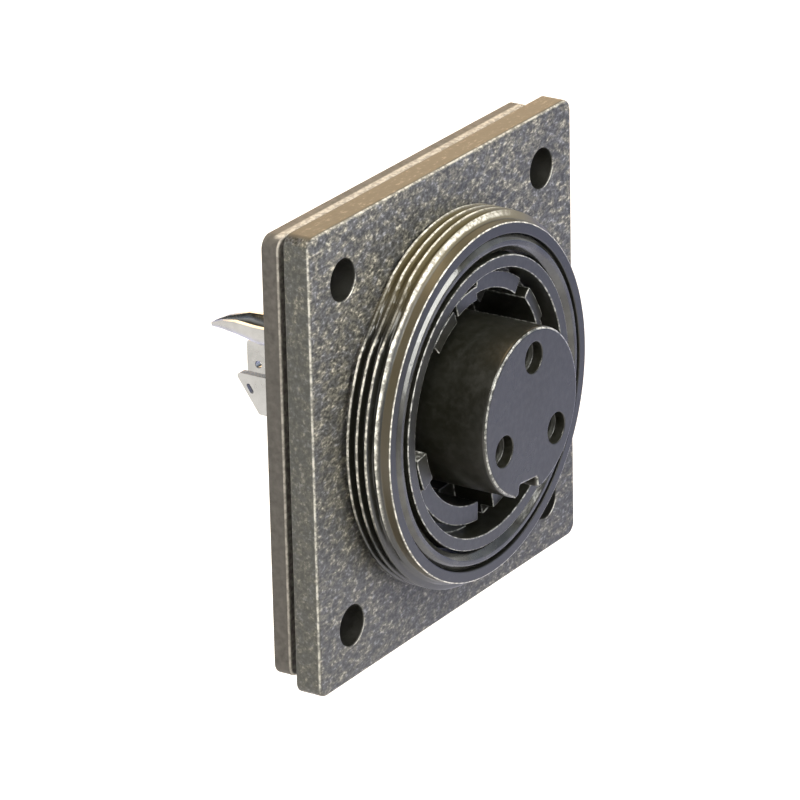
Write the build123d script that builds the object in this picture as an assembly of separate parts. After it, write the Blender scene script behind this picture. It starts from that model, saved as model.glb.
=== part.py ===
"""Square-flange power receptacle with three sockets, a threaded collar and a keyed well.

Lengths are millimetres. The connector's axis is Y: the mating side looks along -Y, the panel's
front face lies in the plane y = 0, and +Z is up. Angles are degrees as seen from the mating side,
counted from +X towards +Z.
"""
from build123d import *
import os
from math import atan2, cos, degrees, radians, sin

os.makedirs("parts", exist_ok=True)

# Flange, pad and gasket
flange_width = 42.0
flange_thick = 2.7
flange_corner = 1.1
flange_edge = 0.3
screw_spacing = 31.8
screw_hole_r = 1.85
pad_width = 36.8
pad_corner = 1.6
pad_height = 0.7
gasket_width = 40.4
gasket_corner = 1.9
gasket_edge = 0.25
gasket_thick = 1.9
gasket_gap = 0.15

# Collar with its external thread
collar_height = 4.35
rim_r = 16.05
band_length = 0.9
thread_root_r = 16.3
thread_crest_r = 16.9
thread_pitch = 0.9
thread_root_width = 0.78
thread_crest_width = 0.2
thread_sink = 0.15
thread_lead = 0.55
flat_distance = 16.2
flat_angle = 135.0

# Sealing ring in the mouth of the collar
seal_round_r = 0.76
seal_recess = 0.4
seal_depth = 1.6
rebate_wall_r = 14.98
seal_gap = 0.02

# Shell behind the flange
shell_r = 15.6
shell_length = 3.0
shell_edge = 0.4

# Keyed insert
sleeve_r = 13.14
sleeve_inner_r = 12.0
insert_gap = 0.06
stop_r = 14.2
stop_depth = 1.6
stop_thick = 2.0
key_wall_r = 11.3
key_wall_inner_r = 9.4
key_wall_recess = 1.15
key_groove_depth = 1.3
keyway_depth = 4.0
keyways = [(162.0, 56.0), (48.0, 12.0), (275.5, 15.0)]
ledge_drop = 0.75
ledges = [(121.5, 25.0), (199.0, 18.0), (22.0, 8.0)]
bridges = [(84.5, 17.0), (234.5, 7.0)]
well_depth = 7.5

# Contact block: the boss in the middle of the well, turned a little, and its tail behind
block_turn = -5.5
block_gap = 0.05
boss_r = 7.58
boss_reach = 4.23
boss_edge = 0.3
slot_width = 2.9
slot_depth = 1.3
slot_length = 6.0
shoulder_r = 10.6
shoulder_thick = 0.9
block_tail_r = 8.6
block_tail_length = 6.7

# Square-cut ring seals: round the insert, and under the block's shoulder
insert_seal_width = 0.9
insert_seal_thick = 0.8
insert_seal_setback = 1.2
block_seal_width = 0.9
block_seal_thick = 0.7
block_seal_inner_r = 8.5

# Retaining ring behind the insert and the block
retainer_gap = 0.1
retainer_inner_r = 8.9
retainer_thick = 2.0
spanner_slots = 4
spanner_slot_width = 2.2
spanner_slot_length = 2.4
spanner_slot_depth = 0.7

# Plate that traps the contacts in the back of the block
plate_r = 7.8
plate_thick = 1.2
plate_gap = 0.05

# Contacts: two end in flat pierced tails, the earth one in a rivet
contact_circle_r = 4.95
contact_hole_r = 1.42
contact_hole_inner_r = 1.36
contact_setback = 1.0
contact_r = 1.85
contact_gap = 0.1
contact_mouth_r = 1.35
contact_bore_r = 1.15
contact_bore_length = 8.0
contact_slit_width = 0.35
contact_slit_length = 5.5
contact_collar_r = 2.35
contact_collar_length = 3.0
contact_seat_gap = 0.05
spring_setback = 1.2
spring_width = 1.1
spring_thick = 0.22
spring_split = 40.0
spring_gap = 0.02
tail_thick = 0.8
tail_height = 3.6
tail_rise = 0.2
tail_corner = 0.3
line_tail_length = 11.8
line_hole_r = 0.35
line_hole_inset = 1.2
line_hole_drop = 0.15
neutral_tail_length = 7.2
neutral_tail_slant = 2.5
neutral_eyelet_length = 1.0
neutral_eyelet_width = 0.4
neutral_eyelet_inset = 0.7
neutral_eyelet_rise = 0.5
rivet_r = 0.95
rivet_head_r = 1.5
rivet_head_thick = 0.4

# Earth tag: a foot under the rivet, a step in towards the axis, and a trough cut like a quill
tag_thick = 0.5
tag_foot_r = 2.2
tag_hole_gap = 0.05
trough_r = 1.85
trough_side = 0.35
trough_length = 12.45
trough_rim_z = 2.95
taper_length = 5.5
quill_length = 3.2
quill_r = 1.55
quill_side = 0.2
quill_middle_length = 1.2
quill_middle_r = 0.95
quill_middle_drop = 0.5
quill_tip_r = 0.42
quill_tip_side = 0.1
quill_tip_drop = 1.05
quill_tip_wall = 0.32

# Planes along the axis, from the panel forwards and back
panel_y = 0.0
gasket_front_y = panel_y - gasket_thick
flange_rear_y = gasket_front_y - pad_height
flange_front_y = flange_rear_y - flange_thick
rim_y = flange_front_y - collar_height
face_y = rim_y - boss_reach
band_y = rim_y + band_length
seal_y = rim_y + seal_recess
rebate_y = seal_y + seal_depth
shell_rear_y = panel_y + shell_length
stop_y = panel_y - stop_depth
stop_rear_y = stop_y + stop_thick
key_wall_y = rim_y + key_wall_recess
key_groove_y = key_wall_y + key_groove_depth
keyway_y = key_wall_y + keyway_depth
well_y = rim_y + well_depth
shoulder_rear_y = stop_rear_y + shoulder_thick
block_rear_y = panel_y + block_tail_length
contact_front_y = face_y + contact_setback + contact_seat_gap
plate_y = block_rear_y - plate_thick
contact_shoulder_y = plate_y - contact_collar_length

# Fits between pieces
insert_bore_r = sleeve_r + insert_gap
stop_bore_r = stop_r + insert_gap
seal_outer_r = rebate_wall_r - seal_gap
block_bore_r = boss_r + block_gap
contact_bore_in_block_r = contact_r + contact_gap
contact_seat_r = contact_collar_r + contact_gap
insert_seal_y = stop_y - insert_seal_setback - insert_seal_width
insert_seal_outer_r = insert_bore_r - seal_gap
insert_groove_r = insert_seal_outer_r - insert_seal_thick - seal_gap
block_seal_y = stop_rear_y - block_seal_thick
block_seal_outer_r = block_seal_inner_r + block_seal_width
spring_outer_r = contact_bore_in_block_r - 0.5 * contact_gap
spring_inner_r = spring_outer_r - spring_thick
spring_seat_r = spring_inner_r - spring_gap


def turned(*points):
    """A solid of revolution about the connector's axis, from (radius, y) points."""
    return revolve(make_face(Polyline(*points, close=True)), axis=Axis.Y)


def rod(radius, start_y, end_y, x=0.0, z=0.0):
    """A round bar parallel to the axis."""
    middle = 0.5 * (start_y + end_y)
    return Pos(x, middle, z) * Rot(90, 0, 0) * Cylinder(radius, abs(end_y - start_y))


def tapered_rod(start_r, end_r, start_y, end_y, x, z):
    """A round bar parallel to the axis, with another radius at its end."""
    return Pos(x, 0, z) * turned((0, start_y), (start_r, start_y), (end_r, end_y), (0, end_y))


def slab(width, corner, start_y, end_y):
    """A square plate with rounded corners, across the axis."""
    outline = Plane.XZ.offset(-end_y) * RectangleRounded(width, width, corner)
    return extrude(outline, end_y - start_y)


def sector(inner_r, outer_r, start_y, end_y, angle, width):
    """Part of a ring, centred on an angle and as many degrees wide."""
    outline = Polyline((inner_r, start_y), (outer_r, start_y), (outer_r, end_y), (inner_r, end_y), close=True)
    piece = revolve(make_face(outline), axis=Axis.Y, revolution_arc=width)
    return Rot(0, -(angle + 0.5 * width), 0) * piece


def across(radius, angle):
    """The x and z of a place at a radius and an angle."""
    return radius * cos(radians(angle)), radius * sin(radians(angle))


def ring(inner_r, outer_r, start_y, end_y):
    """A ring of square section about the axis."""
    return turned((inner_r, start_y), (outer_r, start_y), (outer_r, end_y), (inner_r, end_y))


def mouth_seal():
    """The seal in the collar's mouth, crowned in front by one wide and two steep bevels."""
    inner_r = seal_outer_r - 2 * seal_round_r
    shoulder = seal_round_r * (1 - cos(radians(30)))
    steep = seal_round_r * (1 - sin(radians(30)))
    return turned(
        (inner_r + steep, seal_y),
        (seal_outer_r - steep, seal_y),
        (seal_outer_r, seal_y + seal_round_r - shoulder),
        (seal_outer_r, rebate_y),
        (inner_r, rebate_y),
        (inner_r, seal_y + seal_round_r - shoulder),
    )


def screw_places():
    """The four screw centres as (x, z)."""
    half = 0.5 * screw_spacing
    return [(sx * half, sz * half) for sx in (-1, 1) for sz in (-1, 1)]


def thread_ridge():
    """The collar's right-hand thread as one helical ridge, rooted in the flange."""
    start_y = flange_front_y + 0.2 * thread_pitch
    travel = start_y - band_y
    path = Helix(thread_pitch, travel, thread_root_r, center=(0, start_y, 0), direction=(0, -1, 0))
    start = path @ 0
    outward = Vector(start.X, 0, start.Z).normalized()
    height = thread_crest_r - thread_root_r
    profile = Polyline(
        (-thread_sink, -0.5 * thread_root_width),
        (height, -0.5 * thread_crest_width),
        (height, 0.5 * thread_crest_width),
        (-thread_sink, 0.5 * thread_root_width),
        close=True,
    )
    section = Plane(origin=start, x_dir=outward, z_dir=path % 0) * make_face(profile)
    return sweep(section, path=path, is_frenet=True)


def collar():
    """The threaded collar: bevelled down to a plain band at its mouth, with two flats."""
    threaded = rod(thread_root_r, flange_rear_y, rim_y) + thread_ridge()
    clear_r = thread_crest_r + thread_pitch
    clear_y = band_y + thread_lead * (clear_r - rim_r) / (thread_crest_r - rim_r)
    envelope = turned(
        (0, flange_rear_y),
        (0, rim_y),
        (rim_r, rim_y),
        (rim_r, band_y),
        (clear_r, clear_y),
        (clear_r, flange_rear_y),
    )
    depth = flange_rear_y - rim_y
    between_flats = Rot(0, -flat_angle, 0) * Box(2 * flat_distance, 2 * depth, 2 * clear_r)
    return threaded & envelope & Pos(0, flange_rear_y - 0.5 * depth, 0) * between_flats


def housing():
    """The moulded body: flange, pad, threaded collar and rear shell."""
    plate = slab(flange_width, flange_corner, flange_front_y, flange_rear_y)
    plate = chamfer(plate.faces().sort_by(Axis.Y)[0].edges(), flange_edge)
    pad = slab(pad_width, pad_corner, flange_rear_y, gasket_front_y)
    shell = turned(
        (0, flange_rear_y),
        (shell_r, flange_rear_y),
        (shell_r, shell_rear_y - shell_edge),
        (shell_r - shell_edge, shell_rear_y),
        (0, shell_rear_y),
    )
    inside = turned(
        (0, rim_y),
        (rebate_wall_r, rim_y),
        (rebate_wall_r, rebate_y),
        (insert_bore_r, rebate_y),
        (insert_bore_r, stop_y),
        (stop_bore_r, stop_y),
        (stop_bore_r, shell_rear_y),
        (0, shell_rear_y),
    )
    body = plate + pad + collar() + shell - inside
    for x, z in screw_places():
        body -= rod(screw_hole_r, flange_front_y, panel_y, x, z)
    return body


def gasket():
    """The flat panel gasket behind the pad."""
    sheet = slab(gasket_width, gasket_corner, gasket_front_y, panel_y)
    sheet = chamfer(sheet.faces().sort_by(Axis.Y)[0].edges(), gasket_edge)
    sheet -= rod(shell_r + gasket_gap, gasket_front_y, panel_y)
    for x, z in screw_places():
        sheet -= rod(screw_hole_r, gasket_front_y, panel_y, x, z)
    return sheet


def contact_places():
    """Names and angles of the three contacts, turned with the block."""
    return {"earth": 90.0 + block_turn, "neutral": 210.0 + block_turn, "line": 330.0 + block_turn}


def insert():
    """The keyed moulding: sleeve, key wall, floor of the well and the stop behind."""
    body = turned(
        (block_bore_r, well_y),
        (key_wall_inner_r, well_y),
        (key_wall_inner_r, key_wall_y),
        (key_wall_r, key_wall_y),
        (key_wall_r, key_groove_y),
        (sleeve_inner_r, key_groove_y),
        (sleeve_inner_r, rim_y),
        (sleeve_r, rim_y),
        (sleeve_r, insert_seal_y - seal_gap),
        (insert_groove_r, insert_seal_y - seal_gap),
        (insert_groove_r, insert_seal_y + insert_seal_width + seal_gap),
        (sleeve_r, insert_seal_y + insert_seal_width + seal_gap),
        (sleeve_r, stop_y),
        (stop_r, stop_y),
        (stop_r, stop_rear_y),
        (block_seal_outer_r + seal_gap, stop_rear_y),
        (block_seal_outer_r + seal_gap, block_seal_y - seal_gap),
        (block_seal_inner_r - seal_gap, block_seal_y - seal_gap),
        (block_seal_inner_r - seal_gap, stop_rear_y),
        (block_bore_r, stop_rear_y),
    )
    for angle, width in keyways:
        body -= sector(key_wall_inner_r, sleeve_inner_r, key_wall_y, keyway_y, angle, width)
    for angle, width in bridges:
        body += sector(key_wall_r, sleeve_inner_r, key_wall_y, key_groove_y, angle, width)
    for angle, width in ledges:
        body -= sector(key_wall_inner_r, key_wall_r, key_wall_y, key_wall_y + ledge_drop, angle, width)
    return body


def contact_block():
    """The boss with its slot and contact holes, the shoulder, and the tail behind it."""
    body = turned(
        (0, face_y),
        (boss_r - boss_edge, face_y),
        (boss_r, face_y + boss_edge),
        (boss_r, stop_rear_y),
        (shoulder_r, stop_rear_y),
        (shoulder_r, shoulder_rear_y),
        (block_tail_r, shoulder_rear_y),
        (block_tail_r, block_rear_y),
        (0, block_rear_y),
    )
    x, z = across(boss_r, 270.0 + block_turn)
    slot_turn = Rot(0, -block_turn, 0)
    body -= Pos(x, face_y + 0.5 * slot_length, z) * slot_turn * Box(slot_width, slot_length, 2 * slot_depth)
    for angle in contact_places().values():
        x, z = across(contact_circle_r, angle)
        body -= tapered_rod(contact_hole_r, contact_hole_inner_r, face_y, face_y + contact_setback, x, z)
        body -= rod(contact_bore_in_block_r, face_y + contact_setback, plate_y, x, z)
        body -= rod(contact_seat_r, contact_shoulder_y, plate_y, x, z)
    return body - rod(plate_r + plate_gap, plate_y, block_rear_y)


def retainer():
    """The ring that holds the insert's stop and the block's shoulder, with spanner slots."""
    outer_r = stop_bore_r - insert_gap
    rear_y = stop_rear_y + retainer_thick
    body = turned(
        (retainer_inner_r, shoulder_rear_y),
        (shoulder_r + retainer_gap, shoulder_rear_y),
        (shoulder_r + retainer_gap, stop_rear_y),
        (outer_r, stop_rear_y),
        (outer_r, rear_y),
        (retainer_inner_r, rear_y),
    )
    for number in range(spanner_slots):
        angle = 45.0 + number * 360.0 / spanner_slots
        x, z = across(retainer_inner_r, angle)
        body -= Pos(x, rear_y, z) * Rot(0, -angle, 0) * Box(
            2 * spanner_slot_length, 2 * spanner_slot_depth, spanner_slot_width
        )
    return body


def socket_barrel():
    """The turned front of a contact, on the connector's axis, up to the rear plate."""
    spring_y = contact_front_y + spring_setback
    mouth_taper = contact_mouth_r - contact_bore_r
    shoulder_y = contact_shoulder_y + contact_seat_gap
    barrel = turned(
        (contact_mouth_r, contact_front_y),
        (contact_r, contact_front_y),
        (contact_r, spring_y),
        (spring_seat_r, spring_y),
        (spring_seat_r, spring_y + spring_width + contact_seat_gap),
        (contact_r, spring_y + spring_width + contact_seat_gap),
        (contact_r, shoulder_y),
        (contact_collar_r, shoulder_y),
        (contact_collar_r, plate_y),
        (0, plate_y),
        (0, contact_front_y + contact_bore_length),
        (contact_bore_r, contact_front_y + contact_bore_length),
        (contact_bore_r, contact_front_y + mouth_taper),
    )
    middle_y = contact_front_y + 0.5 * contact_slit_length
    slit = Pos(0, middle_y, 0) * Box(contact_slit_width, contact_slit_length, 3 * contact_r)
    return barrel - slit


def flat_tail(length, slant):
    """A flattened tail standing up and down behind the plate, its end square or slanted."""
    end_y = block_rear_y + length
    low = tail_rise - 0.5 * tail_height
    high = tail_rise + 0.5 * tail_height
    outline = Polyline((plate_y, low), (plate_y, high), (end_y, high), (end_y - slant, low), close=True)
    tail = extrude(Plane.YZ * make_face(outline), 0.5 * tail_thick, both=True)
    corners = tail.edges().filter_by(Axis.X).group_by(Axis.Y)
    corners = corners[-1] if slant == 0 else corners[-1] + corners[-2]
    return fillet(corners, tail_corner)


def line_tail():
    """The long square tail with a round hole."""
    tail = flat_tail(line_tail_length, 0)
    hole_y = block_rear_y + line_tail_length - line_hole_inset
    return tail - Pos(0, hole_y, -line_hole_drop) * Rot(0, 90, 0) * Cylinder(line_hole_r, 2 * tail_thick)


def neutral_tail():
    """The short slanted tail with an oval eyelet beside its end."""
    tail = flat_tail(neutral_tail_length, neutral_tail_slant)
    lean = degrees(atan2(tail_height, neutral_tail_slant))
    end_y = block_rear_y + neutral_tail_length - 0.5 * neutral_tail_slant
    slot = SlotOverall(neutral_eyelet_length, neutral_eyelet_width, rotation=lean)
    lean_shift = neutral_eyelet_rise * neutral_tail_slant / tail_height
    eyelet = Plane.YZ * Pos(end_y - neutral_eyelet_inset + lean_shift, tail_rise + neutral_eyelet_rise) * slot
    return tail - extrude(eyelet, tail_thick, both=True)


def rivet():
    """The earth contact's end, closed over the tag's foot."""
    foot_rear_y = block_rear_y + tag_thick
    shank = rod(rivet_r, plate_y, foot_rear_y + rivet_head_thick)
    head = rod(rivet_head_r, foot_rear_y, foot_rear_y + rivet_head_thick)
    return shank + chamfer(head.edges().group_by(Axis.Y)[-1], 0.5 * rivet_head_thick)


def contact_plate():
    """The disc let into the block's back, with a way through for each contact."""
    plate = rod(plate_r, plate_y, block_rear_y)
    for name, angle in contact_places().items():
        x, z = across(contact_circle_r, angle)
        if name == "earth":
            plate -= rod(rivet_r + plate_gap, plate_y, block_rear_y, x, z)
        else:
            way = Box(tail_thick + 2 * plate_gap, plate_thick, tail_height + 2 * plate_gap)
            plate -= Pos(x, plate_y + 0.5 * plate_thick, z + tail_rise) * way
    return plate


def contact_spring():
    """The split spring band round a contact's tines."""
    start_y = contact_front_y + spring_setback + 0.5 * contact_seat_gap
    return sector(spring_inner_r, spring_outer_r, start_y, start_y + spring_width, 90.0, 360.0 - spring_split)


def trough_section(radius, side, wall, x, y, z):
    """A U section across the axis, open upwards: a half-round under two straight sides, its rim at z."""
    place = Plane(origin=(x, y, z), x_dir=(1, 0, 0), z_dir=(0, 1, 0))
    inner = radius - wall
    outline = [
        Line((-inner, 0), (-radius, 0)),
        Line((-radius, 0), (-radius, side)),
        ThreePointArc((-radius, side), (0, side + radius), (radius, side)),
        Line((radius, side), (radius, 0)),
        Line((radius, 0), (inner, 0)),
        Line((inner, 0), (inner, side)),
        ThreePointArc((inner, side), (0, side + inner), (-inner, side)),
        Line((-inner, side), (-inner, 0)),
    ]
    return place * make_face(outline)


def earth_tag():
    """Foot, step and trough of the earth tag."""
    foot_y = block_rear_y
    foot_rear_y = foot_y + tag_thick
    foot_x, foot_z = across(contact_circle_r, contact_places()["earth"])
    trough_x = foot_x * trough_rim_z / foot_z
    foot = rod(tag_foot_r, foot_y, foot_rear_y, foot_x, foot_z)
    step_low_z = trough_rim_z - trough_side - trough_r
    step = Pos(trough_x, foot_y + 0.5 * tag_thick, 0.5 * (foot_z + step_low_z)) * Box(
        2 * trough_r, tag_thick, foot_z - step_low_z
    )
    end_y = foot_rear_y + trough_length
    taper_y = end_y - taper_length
    root = trough_section(trough_r, trough_side, tag_thick, trough_x, foot_y, trough_rim_z)
    start = trough_section(trough_r, trough_side, tag_thick, trough_x, taper_y, trough_rim_z)
    quill = trough_section(quill_r, quill_side, tag_thick, trough_x, end_y - quill_length, trough_rim_z)
    middle = trough_section(
        quill_middle_r,
        quill_tip_side,
        tag_thick,
        trough_x,
        end_y - quill_middle_length,
        trough_rim_z - quill_middle_drop,
    )
    tip = trough_section(
        quill_tip_r, quill_tip_side, quill_tip_wall, trough_x, end_y, trough_rim_z - quill_tip_drop
    )
    trough = extrude(root, taper_y - foot_y) + loft([start, quill, middle, tip], ruled=True)
    tag = foot + step + trough
    return tag - rod(rivet_r + tag_hole_gap, foot_y, foot_rear_y, foot_x, foot_z)


def contact(name, angle):
    """One whole contact in its place."""
    body = socket_barrel()
    if name == "earth":
        body += rivet()
    elif name == "line":
        body += line_tail()
    else:
        body += neutral_tail()
    x, z = across(contact_circle_r, angle)
    return Pos(x, 0, z) * body


pieces = {
    "flange_housing": housing(),
    "panel_gasket": gasket(),
    "mouth_seal": mouth_seal(),
    "keyed_insert": insert(),
    "insert_seal": ring(
        insert_seal_outer_r - insert_seal_thick,
        insert_seal_outer_r,
        insert_seal_y,
        insert_seal_y + insert_seal_width,
    ),
    "contact_block": contact_block(),
    "block_seal": ring(block_seal_inner_r, block_seal_outer_r, block_seal_y, stop_rear_y),
    "insert_retainer": retainer(),
    "contact_plate": contact_plate(),
    "earth_tag": earth_tag(),
}
for name, angle in contact_places().items():
    x, z = across(contact_circle_r, angle)
    pieces[name + "_contact"] = contact(name, angle)
    pieces[name + "_contact_spring"] = Pos(x, 0, z) * contact_spring()

for name, solid in pieces.items():
    export_step(solid, "parts/" + name + ".step")
    print(name, "valid" if solid.is_valid else "not valid", len(solid.solids()), "solid")
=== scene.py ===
import math

import bmesh
import bpy
from mathutils import Matrix, Vector


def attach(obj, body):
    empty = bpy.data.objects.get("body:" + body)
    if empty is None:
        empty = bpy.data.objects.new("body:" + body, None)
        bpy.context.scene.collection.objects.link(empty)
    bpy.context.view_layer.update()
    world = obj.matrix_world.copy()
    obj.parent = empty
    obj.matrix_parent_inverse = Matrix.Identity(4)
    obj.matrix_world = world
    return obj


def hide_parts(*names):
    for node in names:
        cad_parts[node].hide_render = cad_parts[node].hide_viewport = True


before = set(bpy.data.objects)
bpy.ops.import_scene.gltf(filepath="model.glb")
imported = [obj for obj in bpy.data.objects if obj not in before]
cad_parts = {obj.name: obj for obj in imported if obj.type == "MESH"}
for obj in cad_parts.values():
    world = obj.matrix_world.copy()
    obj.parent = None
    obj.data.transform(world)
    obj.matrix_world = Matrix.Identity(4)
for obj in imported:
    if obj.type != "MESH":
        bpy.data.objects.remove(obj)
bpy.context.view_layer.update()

print("frame loaded:", len(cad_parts), "nodes")

# All sizes below are in millimetres. The connector's axis is Y, the mating side looks along -Y.
# Angles are degrees seen from the mating side, from +X towards +Z.
mm = 0.001
fullTurn = 2 * math.pi
body = "root"
weldReach = 0.002  # points nearer than this count as one
holeSteps = 48  # segments of a small hole
openingSteps = 160  # segments of the wide middle hole

planes = {
    "panel": 0.0,
    "gasketFront": -1.7,
    "flangeRear": -2.8,
    "flangeFront": -5.3,
    "rim": -9.65,
    "face": -13.88,
    "stop": -1.6,
    "stopRear": 0.4,
    "blockRear": 6.7,
    "plate": 5.5,
}


# Outlines and loops

def polar(radius, degrees, centre=(0.0, 0.0)):
    angle = math.radians(degrees)
    return centre[0] + radius * math.cos(angle), centre[1] + radius * math.sin(angle)


def circleOutline(radius, steps, centre=(0.0, 0.0)):
    return [polar(radius, 360 * i / steps, centre) for i in range(steps)]


def squareOutline(width, corner, steps=12):
    # counter-clockwise, each corner an arc
    half = width / 2 - corner
    points = []
    for signX, signZ, start in ((1, 1, 0), (-1, 1, 90), (-1, -1, 180), (1, -1, 270)):
        centre = (signX * half, signZ * half)
        points += [polar(corner, start + 90 * i / steps, centre) for i in range(steps + 1)]
    return points


def inset(outline, distance):
    # moves every point of a counter-clockwise outline inwards
    moved = []
    for i, point in enumerate(outline):
        before = Vector(point) - Vector(outline[i - 1])
        after = Vector(outline[(i + 1) % len(outline)]) - Vector(point)
        before.normalize()
        after.normalize()
        across = Vector((-before.y - after.y, before.x + after.x))
        scale = distance / max(0.4, 1 + before.dot(after))
        moved.append((point[0] + across.x * scale, point[1] + across.y * scale))
    return moved


def softCorners(points, steps=4, support=0.06):
    # a closed polygon of (x, y, corner radius), with its corners rounded
    soft = []
    for i, (x, y, radius) in enumerate(points):
        corner = Vector((x, y))
        if radius == 0:
            soft.append((x, y))
            continue
        toLast = (Vector(points[i - 1][:2]) - corner).normalized()
        toNext = (Vector(points[(i + 1) % len(points)][:2]) - corner).normalized()
        half = toLast.angle(toNext) / 2
        reach = radius / math.tan(half)
        centre = corner + (toLast + toNext).normalized() * radius / math.sin(half)
        start = corner + toLast * reach - centre
        end = corner + toNext * reach - centre
        sweep = math.pi - 2 * half
        soft.append(tuple(centre + start + toLast * support))
        for step in range(steps + 1):
            share = step / steps
            turned = start * math.sin((1 - share) * sweep) + end * math.sin(share * sweep)
            soft.append(tuple(centre + turned / math.sin(sweep)))
        soft.append(tuple(centre + end + toNext * support))
    return soft


def noseRows(front, rounding, steps=4, support=0.12):
    # (inset, y) rows from a front cap round its edge onto the side
    turns = [math.pi / 2 * i / steps for i in range(steps + 1)]
    cap = [(rounding + 3 * support, front), (rounding + support, front)]
    nose = [(rounding * (1 - math.sin(t)), front + rounding * (1 - math.cos(t))) for t in turns]
    return cap + nose + [(0.0, front + rounding + support)]


def edgeRows(front, rear, frontRound, rearRound, steps=4, support=0.12):
    # the rows of a plate's whole side, from its front cap to its rear cap
    tail = [(distance, rear - depth) for distance, depth in noseRows(0.0, rearRound, steps, support)]
    return noseRows(front, frontRound, steps, support) + tail[::-1]


def addLoop(bm, outline, y):
    return [bm.verts.new((x * mm, y * mm, z * mm)) for x, z in outline]


def joinLoops(bm, first, second):
    count = len(first)
    for i in range(count):
        j = (i + 1) % count
        bm.faces.new((first[i], first[j], second[j], second[i]))


def addWall(bm, outline, rows, side=1):
    # side 1 insets an outer wall's edges, side -1 opens a hole's edges
    loops = [addLoop(bm, inset(outline, side * distance), y) for distance, y in rows]
    for first, second in zip(loops, loops[1:]):
        joinLoops(bm, first, second)
    return loops


def addCap(bm, loops):
    # fills the plane between an outer loop and the loops of its holes
    edges = []
    for loop in loops:
        for i, vert in enumerate(loop):
            edges.append(bm.edges.get((vert, loop[(i + 1) % len(loop)])))
    bmesh.ops.triangle_fill(bm, use_beauty=True, edges=edges)


def addPlate(bm, outline, holes, rows, holeRows):
    walls = [addWall(bm, outline, rows)]
    walls += [addWall(bm, hole, holeRows, side=-1) for hole in holes]
    addCap(bm, [wall[0] for wall in walls])
    addCap(bm, [wall[-1] for wall in walls])


def addTurned(bm, profile, steps, closed=True):
    # (radius, y) points turned round the connector's axis
    loops = [addLoop(bm, circleOutline(radius, steps), y) for radius, y in profile]
    for first, second in zip(loops, loops[1:]):
        joinLoops(bm, first, second)
    if closed:
        joinLoops(bm, loops[-1], loops[0])


def finishMesh(name, bm, material, sharpAngle=40, edgeMaterial=None):
    bmesh.ops.recalc_face_normals(bm, faces=bm.faces)
    mesh = bpy.data.meshes.new(name)
    bm.to_mesh(mesh)
    bm.free()
    return finishObject(name, mesh, material, sharpAngle, edgeMaterial)


def finishObject(name, mesh, material, sharpAngle=40, edgeMaterial=None):
    mesh.name = name
    mesh.materials.append(material)
    if edgeMaterial:
        mesh.materials.append(edgeMaterial)
    mesh.shade_smooth()
    mesh.set_sharp_from_angle(angle=math.radians(sharpAngle))
    piece = bpy.data.objects.new(name, mesh)
    bpy.context.scene.collection.objects.link(piece)
    return piece


def addBevel(piece, width, angle=40, finish=-1):
    # finish is the material slot of the bevelled strips, or -1 for their neighbours' own
    bevel = piece.modifiers.new("edges", "BEVEL")
    bevel.material = finish
    bevel.width = width * mm
    bevel.segments = 2
    bevel.limit_method = "ANGLE"
    bevel.angle_limit = math.radians(angle)
    bevel.use_clamp_overlap = True
    bevel.harden_normals = True
    bevel.miter_outer = "MITER_ARC"


def standFor(piece, slot, *nodes):
    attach(piece, body)
    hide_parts(*nodes)
    print("made", piece.name)


# Node helpers for materials and geometry

def feedSocket(tree, socket, value):
    # a number or a colour is set on the socket, and a node's output is linked to it
    if isinstance(value, (int, float)):
        socket.default_value = value
    elif isinstance(value, tuple):
        socket.default_value = (*value, 1.0)
    else:
        tree.links.new(value, socket)


def mathNode(tree, operation, *values):
    node = tree.nodes.new("ShaderNodeMath")
    node.operation = operation
    for socket, value in zip(node.inputs, values):
        feedSocket(tree, socket, value)
    return node.outputs[0]


def times(tree, *values):
    result = values[0]
    for value in values[1:]:
        result = mathNode(tree, "MULTIPLY", result, value)
    return result


def distanceNode(tree, first, second):
    # the length of the diagonal over two sides
    total = mathNode(tree, "ADD", times(tree, first, first), times(tree, second, second))
    return mathNode(tree, "SQRT", total)


def splitNode(tree, vector):
    node = tree.nodes.new("ShaderNodeSeparateXYZ")
    tree.links.new(vector, node.inputs[0])
    return node.outputs["X"], node.outputs["Y"], node.outputs["Z"]


def rangeNode(tree, value, low, high, newLow=0.0, newHigh=1.0, smooth=False):
    node = tree.nodes.new("ShaderNodeMapRange")
    if smooth:
        node.interpolation_type = "SMOOTHSTEP"
    names = ("Value", "From Min", "From Max", "To Min", "To Max")
    for name, given in zip(names, (value, low, high, newLow, newHigh)):
        feedSocket(tree, node.inputs[name], given)
    return node.outputs[0]


def blendNode(tree, factor, first, second):
    return rangeNode(tree, factor, 0.0, 1.0, first, second)


def stepNode(tree, value, start, soft, newLow=0.0, newHigh=1.0):
    # goes from newLow to newHigh as the value, in metres, passes from start to start + soft, in millimetres
    return rangeNode(tree, value, start * mm, (start + soft) * mm, newLow, newHigh)


def spanNode(tree, value, origin, start, end, soft):
    # 1 where the value, in metres, lies between start and end past the origin, given in millimetres
    rise = stepNode(tree, value, origin + start - soft, 2 * soft)
    fall = stepNode(tree, value, origin + end - soft, 2 * soft, 1.0, 0.0)
    return times(tree, rise, fall)


def crestDistance(tree, y, turn, firstTurn, pitch):
    # how far along the axis a point lies from the nearest crest of a helical thread
    turns = mathNode(tree, "DIVIDE", mathNode(tree, "SUBTRACT", y, firstTurn), pitch)
    phase = mathNode(tree, "FRACT", mathNode(tree, "ADD", mathNode(tree, "ADD", turns, turn), 0.5))
    return times(tree, mathNode(tree, "ABSOLUTE", mathNode(tree, "SUBTRACT", phase, 0.5)), pitch)


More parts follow.
